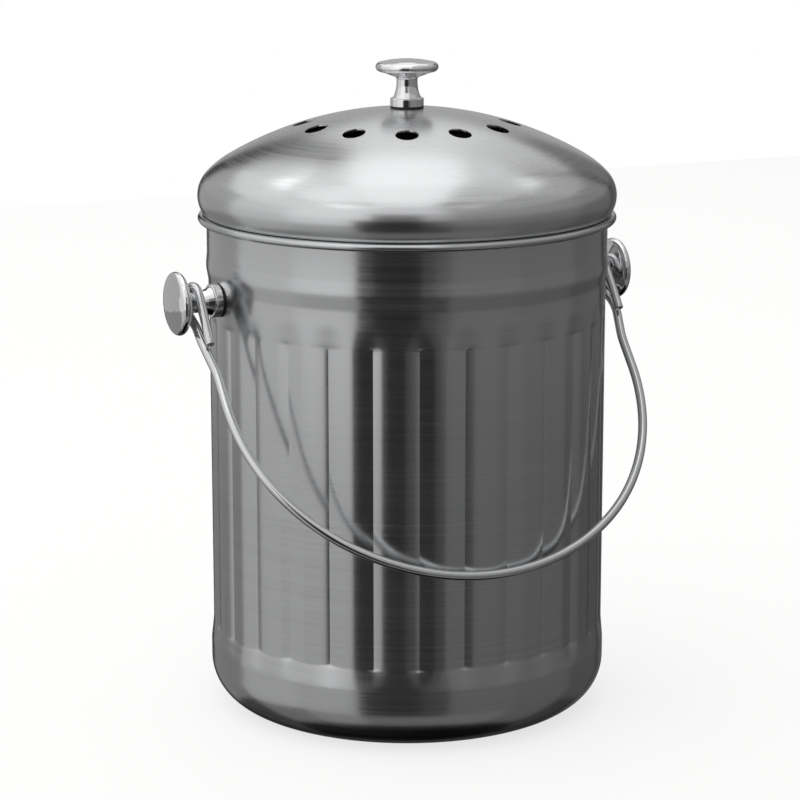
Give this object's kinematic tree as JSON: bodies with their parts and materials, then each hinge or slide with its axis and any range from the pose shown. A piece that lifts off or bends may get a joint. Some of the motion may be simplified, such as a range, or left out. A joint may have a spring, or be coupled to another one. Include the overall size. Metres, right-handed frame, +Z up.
{
  "type": "compost caddy",
  "caption": "Round fluted steel compost caddy with a lift-off domed vented lid, mushroom knobs, a wire bail on side studs, and a charcoal filter in the lid.",
  "frame": {"origin": "centre of the circle on which the pail stands, at the bottom of the whole object", "axes": "+Z up along the pail's axis; the studs that carry the bail lie along X; -Y is the front, where the bail hangs down at rest"},
  "size_m": [0.2206, 0.184, 0.2883],
  "materials": {
    "brushed_steel_pail": "fine circumferential brush",
    "brushed_steel_lid": "fine spun brush, concentric",
    "polished_wire": "polished",
    "polished_knob": "polished",
    "black_rubber": "matt",
    "zinc_fastener": "bright zinc plate",
    "black_plastic": "moulded, fine texture",
    "charcoal_felt": "needled felt"
  },
  "bodies": {
    "pail": {"pail_body": "brushed_steel_pail", "left_stud_knob": "polished_knob", "left_stud_gasket": "black_rubber", "left_stud_washer": "zinc_fastener", "left_stud_screw": "zinc_fastener", "right_stud_knob": "polished_knob", "right_stud_gasket": "black_rubber", "right_stud_washer": "zinc_fastener", "right_stud_screw": "zinc_fastener"},
    "bail": {"bail_handle": "polished_wire"},
    "lid": {"lid_shell": "brushed_steel_lid", "lid_knob": "polished_knob", "lid_knob_gasket": "black_rubber", "lid_knob_washer": "zinc_fastener", "lid_knob_screw": "zinc_fastener"},
    "filter": {"filter_holder": "black_plastic", "filter_pad": "charcoal_felt"}
  },
  "joints": [
    {"name": "bail_swing", "type": "hinge", "parent": "pail", "child": "bail", "pos_m": [0, 0.0039, 0.1877], "axis": [-1, 0, 0], "range_deg": [0, 282.5]},
    {"name": "lid_lift", "type": "slide", "parent": "pail", "child": "lid", "axis": [0, 0, 1], "range_m": [0, 0.1]},
    {"name": "filter_pull", "type": "slide", "parent": "lid", "child": "filter", "axis": [0, 0, -1], "range_m": [0, 0.014]}
  ]
}
